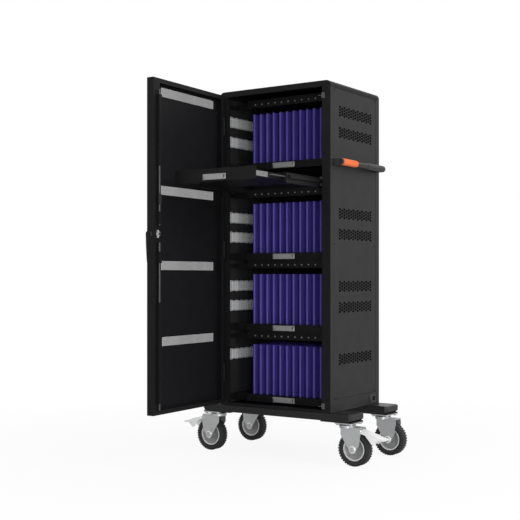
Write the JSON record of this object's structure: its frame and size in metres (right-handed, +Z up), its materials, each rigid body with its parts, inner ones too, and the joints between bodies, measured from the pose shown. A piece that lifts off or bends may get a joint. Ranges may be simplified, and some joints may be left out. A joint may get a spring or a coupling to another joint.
{
  "type": "charging cabinet",
  "caption": "Tall wheeled charging cabinet with a vented swing door, pull-out shelves of divided device bays, a pull-out work tray and a side push handle.",
  "frame": {"origin": "on the floor under the middle of the cabinet body, with all four wheels standing on Z = 0", "axes": "+Z up, -Y out of the door opening, +X towards the push handle"},
  "size_m": [0.892, 0.8389, 1.392],
  "materials": {
    "body_black": "fine textured powder coat, satin",
    "side_black": "fine textured powder coat, satin",
    "beam_black": "smooth satin powder coat",
    "black_plastic": "fine moulded texture",
    "indigo_plastic": "satin moulded",
    "grip_orange": "soft touch, matte",
    "zinc_plate": "bright zinc plate",
    "rod_steel": "drawn, bright",
    "pull_grey": "satin anodised",
    "light_window": "frosted",
    "link_white": "satin moulded",
    "tyre": "matte rubber"
  },
  "bodies": {
    "cabinet": {"front_frame": "body_black", "top_panel": "body_black", "floor_panel": "body_black", "left_side": "side_black", "right_side": "side_black", "left_cover": "side_black", "right_cover": "side_black", "back_cover": "body_black", "front_beam": "beam_black", "rear_beam": "beam_black", "cover_screws": "beam_black", "headers": "body_black", "charge_lights": "light_window", "shelf_rails": "body_black", "tray_rails": "zinc_plate", "push_handle": "black_plastic", "handle_sleeve": "grip_orange", "power_inlet": "black_plastic", "strike_plates": "zinc_plate", "hinge_leaves": "body_black", "power_strips": "black_plastic", "caster_plates": "zinc_plate"},
    "rocker": {"power_switch": "black_plastic"},
    "door": {"door_panel": "body_black", "door_grilles": "body_black", "door_knuckles": "body_black", "lock_case": "black_plastic", "rod_guides": "body_black", "door_buffers": "link_white"},
    "key": {"key_plug": "zinc_plate"},
    "latch": {"latch_handle": "black_plastic", "lock_cam": "link_white"},
    "upper_bolt": {"upper_rod": "rod_steel"},
    "lower_bolt": {"lower_rod": "rod_steel"},
    "carriage": {"tray_carriage": "body_black"},
    "tray": {"tray_pan": "body_black", "tray_pull": "pull_grey", "tray_runners": "zinc_plate"},
    "shelf_1": {"shelf_1": "body_black", "shelf_1_dividers": "indigo_plastic", "shelf_1_pull": "pull_grey"},
    "shelf_2": {"shelf_2": "body_black", "shelf_2_dividers": "indigo_plastic", "shelf_2_pull": "pull_grey"},
    "shelf_3": {"shelf_3": "body_black", "shelf_3_dividers": "indigo_plastic", "shelf_3_pull": "pull_grey"},
    "shelf_4": {"shelf_4": "body_black", "shelf_4_dividers": "indigo_plastic", "shelf_4_pull": "pull_grey"},
    "caster_front_left": {"fork_front_left": "zinc_plate"},
    "wheel_front_left": {"wheel_front_left": "tyre"},
    "brake_front_left": {"pedal_front_left": "zinc_plate"},
    "caster_front_right": {"fork_front_right": "zinc_plate"},
    "wheel_front_right": {"wheel_front_right": "tyre"},
    "brake_front_right": {"pedal_front_right": "zinc_plate"},
    "caster_rear_left": {"fork_rear_left": "zinc_plate"},
    "wheel_rear_left": {"wheel_rear_left": "tyre"},
    "caster_rear_right": {"fork_rear_right": "zinc_plate"},
    "wheel_rear_right": {"wheel_rear_right": "tyre"}
  },
  "joints": [
    {"name": "door_hinge", "type": "hinge", "parent": "cabinet", "child": "door", "pos_m": [-0.224, -0.196, 0.8], "axis": [0, 0, -1], "range_deg": [-2, 15]},
    {"name": "carriage_slide", "type": "slide", "parent": "cabinet", "child": "carriage", "axis": [0, 1, 0], "range_m": [0, 0.21]},
    {"name": "tray_slide", "type": "slide", "parent": "carriage", "child": "tray", "axis": [0, 1, 0], "range_m": [0, 0.16]},
    {"name": "switch_rock", "type": "hinge", "parent": "cabinet", "child": "rocker", "pos_m": [0.243, 0.1195, 0.212], "axis": [0, 1, 0], "range_deg": [0, 16]},
    {"name": "key_turn", "type": "hinge", "parent": "door", "child": "key", "pos_m": [-0.23139, -0.62273, 0.85801], "axis": [-0.999, -0.0436, 0], "range_deg": [0, 90]},
    {"name": "latch_turn", "type": "hinge", "parent": "door", "child": "latch", "pos_m": [-0.23139, -0.62273, 0.83101], "axis": [-0.999, -0.0436, 0], "range_deg": [0, 90]},
    {"name": "upper_bolt_slide", "type": "slide", "parent": "door", "child": "upper_bolt", "axis": [0, 0, 1], "range_m": [0, 0.018]},
    {"name": "lower_bolt_slide", "type": "slide", "parent": "door", "child": "lower_bolt", "axis": [0, 0, -1], "range_m": [0, 0.018]},
    {"name": "shelf_1_slide", "type": "slide", "parent": "cabinet", "child": "shelf_1", "axis": [0, -1, 0], "range_m": [0, 0.18]},
    {"name": "shelf_2_slide", "type": "slide", "parent": "cabinet", "child": "shelf_2", "axis": [0, -1, 0], "range_m": [0, 0.18]},
    {"name": "shelf_3_slide", "type": "slide", "parent": "cabinet", "child": "shelf_3", "axis": [0, -1, 0], "range_m": [0, 0.18]},
    {"name": "shelf_4_slide", "type": "slide", "parent": "cabinet", "child": "shelf_4", "axis": [0, -1, 0], "range_m": [0, 0.18]},
    {"name": "swivel_front_left", "type": "hinge", "parent": "cabinet", "child": "caster_front_left", "pos_m": [-0.288, -0.14, 0.147], "axis": [0, 0, 1], "continuous": true},
    {"name": "spin_front_left", "type": "hinge", "parent": "caster_front_left", "child": "wheel_front_left", "pos_m": [-0.32, -0.14, 0.0625], "axis": [0, 1, 0], "continuous": true},
    {"name": "pedal_front_left", "type": "hinge", "parent": "caster_front_left", "child": "brake_front_left", "pos_m": [-0.346, -0.14, 0.1285], "axis": [0, -1, 0], "range_deg": [0, 12]},
    {"name": "swivel_front_right", "type": "hinge", "parent": "cabinet", "child": "caster_front_right", "pos_m": [0.288, -0.14, 0.147], "axis": [0, 0, 1], "continuous": true},
    {"name": "spin_front_right", "type": "hinge", "parent": "caster_front_right", "child": "wheel_front_right", "pos_m": [0.32, -0.14, 0.0625], "axis": [0, 1, 0], "continuous": true},
    {"name": "pedal_front_right", "type": "hinge", "parent": "caster_front_right", "child": "brake_front_right", "pos_m": [0.346, -0.14, 0.1285], "axis": [0, 1, 0], "range_deg": [0, 12]},
    {"name": "swivel_rear_left", "type": "hinge", "parent": "cabinet", "child": "caster_rear_left", "pos_m": [-0.288, 0.14, 0.147], "axis": [0, 0, 1], "continuous": true},
    {"name": "spin_rear_left", "type": "hinge", "parent": "caster_rear_left", "child": "wheel_rear_left", "pos_m": [-0.32, 0.14, 0.0625], "axis": [0, 1, 0], "continuous": true},
    {"name": "swivel_rear_right", "type": "hinge", "parent": "cabinet", "child": "caster_rear_right", "pos_m": [0.288, 0.14, 0.147], "axis": [0, 0, 1], "continuous": true},
    {"name": "spin_rear_right", "type": "hinge", "parent": "caster_rear_right", "child": "wheel_rear_right", "pos_m": [0.32, 0.14, 0.0625], "axis": [0, 1, 0], "continuous": true}
  ],
  "couplings": [
    {"joint": "tray_slide", "follows": "carriage_slide", "ratio": 0.7619},
    {"joint": "upper_bolt_slide", "follows": "latch_turn", "m_per_rad": 0.011459},
    {"joint": "lower_bolt_slide", "follows": "latch_turn", "m_per_rad": 0.011459}
  ]
}
